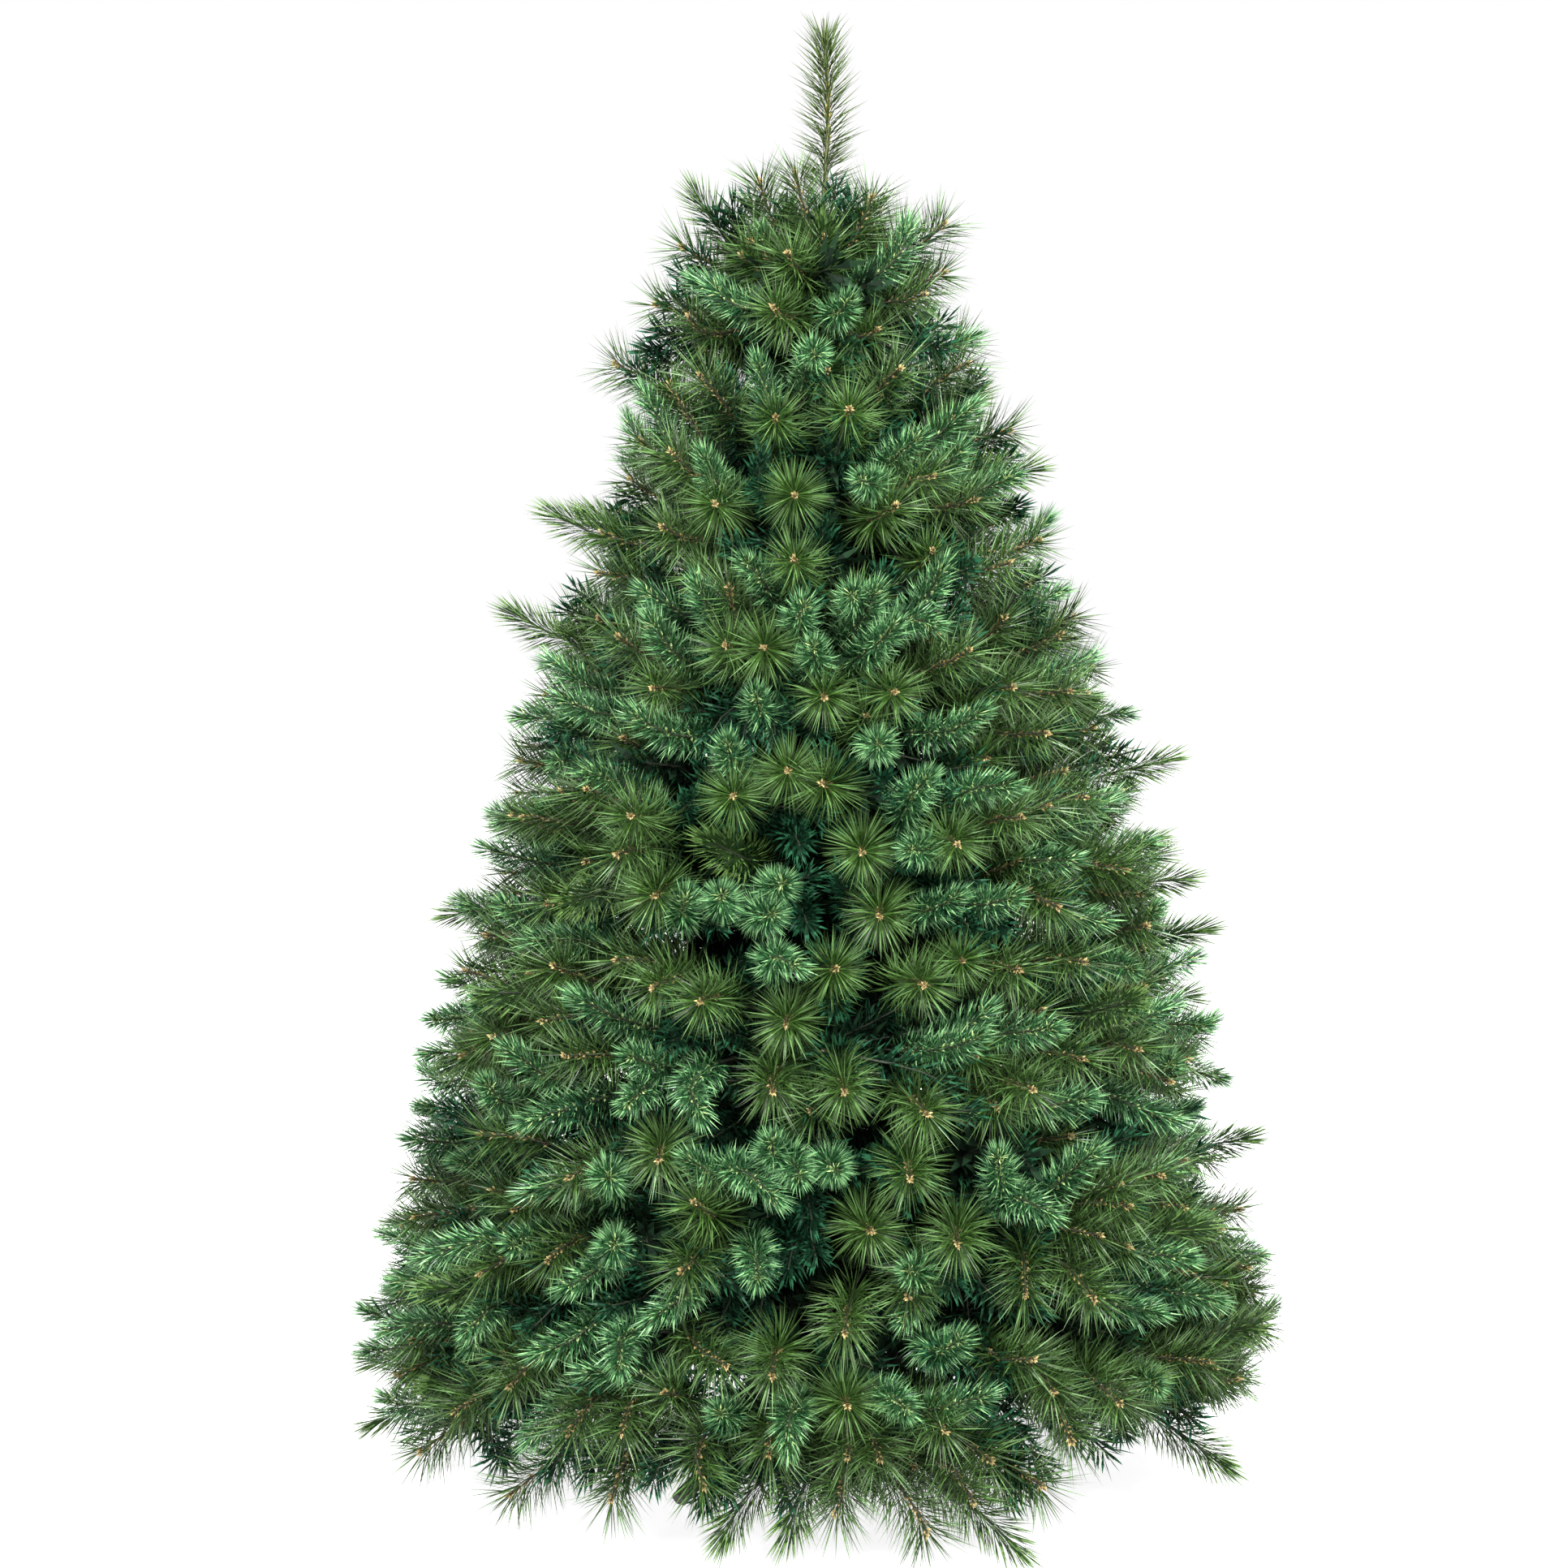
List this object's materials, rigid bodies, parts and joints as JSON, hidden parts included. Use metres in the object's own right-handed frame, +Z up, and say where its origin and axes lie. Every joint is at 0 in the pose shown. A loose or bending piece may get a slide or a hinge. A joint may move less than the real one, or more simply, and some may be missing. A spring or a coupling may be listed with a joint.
{
  "type": "artificial christmas tree",
  "caption": "Cone-shaped artificial tree of mixed needle tips in tiers of masses on a sectioned steel pole, with a folding four-legged stand.",
  "frame": {"origin": "on the pole's axis at floor level, under the middle of the tree", "axes": "+Z up along the pole; the pictured front faces -Y; +X is the picture's right"},
  "size_m": [1.1698, 1.179, 1.8],
  "materials": {
    "green_needles": "mixed soft green needle tips of slit plastic film on twisted wire",
    "brown_wrapped_wire": "steel wire wrapped in brown and green slit film",
    "green_plastic": "dark green moulded collar",
    "green_painted_steel": "dark green powder-coated tube",
    "black_painted_steel": "semi-gloss black powder coat",
    "black_rubber": "black moulded end cap"
  },
  "bodies": {
    "root": {"bough_1_1": "brown_wrapped_wire", "bough_1_2": "brown_wrapped_wire", "bough_1_3": "brown_wrapped_wire", "bough_1_4": "brown_wrapped_wire", "bough_1_5": "brown_wrapped_wire", "bough_2_1": "brown_wrapped_wire", "bough_2_2": "brown_wrapped_wire", "bough_2_3": "brown_wrapped_wire", "bough_2_4": "brown_wrapped_wire", "bough_2_5": "brown_wrapped_wire", "bough_3_1": "brown_wrapped_wire", "bough_3_2": "brown_wrapped_wire", "bough_3_3": "brown_wrapped_wire", "bough_3_4": "brown_wrapped_wire", "collar_1": "green_plastic", "collar_2": "green_plastic", "collar_3": "green_plastic", "foliage_1_1": "green_needles", "foliage_1_2": "green_needles", "foliage_1_3": "green_needles", "foliage_1_4": "green_needles", "foliage_1_5": "green_needles", "foliage_2_1": "green_needles", "foliage_2_2": "green_needles", "foliage_2_3": "green_needles", "foliage_2_4": "green_needles", "foliage_2_5": "green_needles", "foliage_3_1": "green_needles", "foliage_3_2": "green_needles", "foliage_3_3": "green_needles", "foliage_3_4": "green_needles", "foliage_4_1": "green_needles", "foliage_4_2": "green_needles", "foliage_4_3": "green_needles", "foliage_4_4": "green_needles", "foliage_5_1": "green_needles", "foliage_5_2": "green_needles", "foliage_5_3": "green_needles", "foliage_5_4": "green_needles", "foliage_6_1": "green_needles", "foliage_6_2": "green_needles", "foliage_6_3": "green_needles", "foliage_7_1": "green_needles", "foliage_7_2": "green_needles", "foliage_7_3": "green_needles", "foot_back_left": "black_rubber", "foot_back_right": "black_rubber", "foot_front_left": "black_rubber", "foot_front_right": "black_rubber", "leader": "green_needles", "leg_back_left": "black_painted_steel", "leg_back_right": "black_painted_steel", "leg_front_left": "black_painted_steel", "leg_front_right": "black_painted_steel", "pole_lower": "green_painted_steel", "pole_middle": "green_painted_steel", "pole_upper": "green_painted_steel", "stand_socket": "black_painted_steel"}
  },
  "joints": []
}
